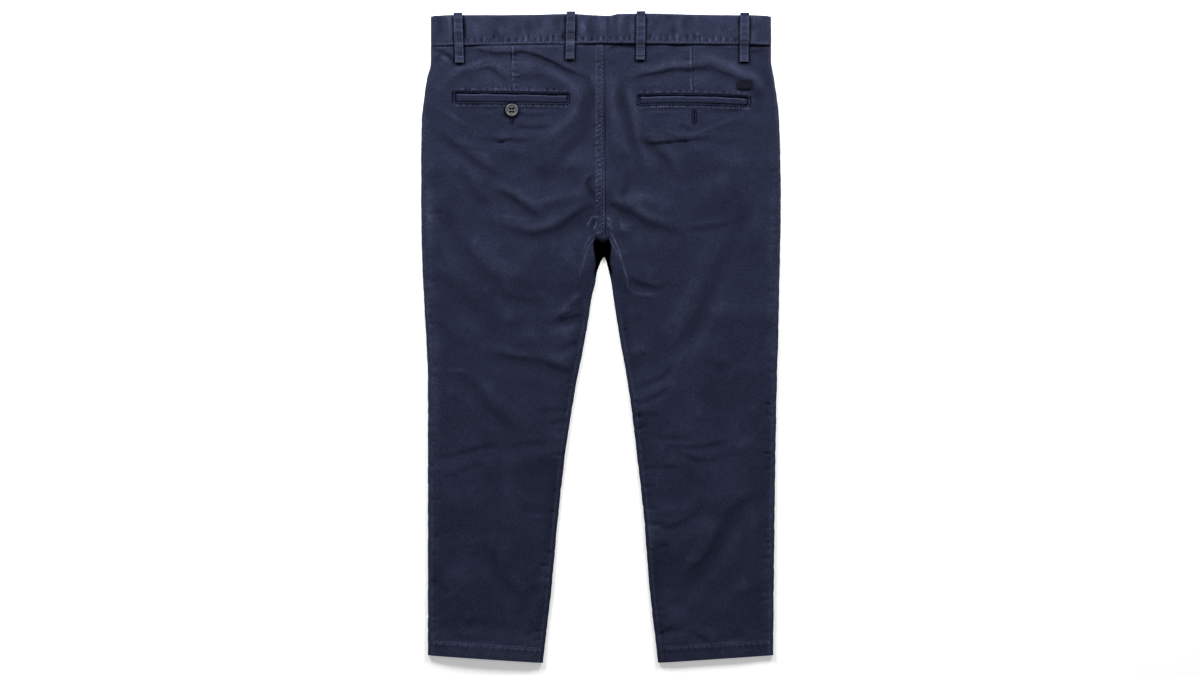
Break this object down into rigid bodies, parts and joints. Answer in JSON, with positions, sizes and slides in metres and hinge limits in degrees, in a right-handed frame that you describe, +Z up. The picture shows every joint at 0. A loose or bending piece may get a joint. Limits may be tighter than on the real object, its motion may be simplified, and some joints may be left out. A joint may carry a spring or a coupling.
{
  "type": "chino trousers",
  "caption": "Straight-leg twill trousers lying flat, back side up, with waistband, belt loops, welt back pockets and slanted side pockets.",
  "frame": {"origin": "on the floor under the middle of the garment's bounding box", "axes": "+X towards the right of the back view, +Y from the hems to the waist, +Z up from the floor through the back"},
  "size_m": [0.3055, 0.5529, 0.0079],
  "materials": {
    "twill": "garment-washed navy cotton twill, matt, paler on the seams",
    "button": "charcoal four-hole button with a low sheen",
    "patch": "plain dark woven label"
  },
  "bodies": {
    "root": {"front_left": "twill", "front_right": "twill", "back_left": "twill", "back_right": "twill", "waistband_left": "twill", "waistband_right": "twill", "pocket_facing_left": "twill", "pocket_facing_right": "twill", "pocket_welt_left": "twill", "pocket_welt_right": "twill", "belt_loop_back_1": "twill", "belt_loop_back_2": "twill", "belt_loop_back_3": "twill", "belt_loop_back_4": "twill", "belt_loop_front_1": "twill", "belt_loop_front_2": "twill", "pocket_button": "button", "waist_button": "button", "label_patch": "patch"}
  },
  "joints": []
}
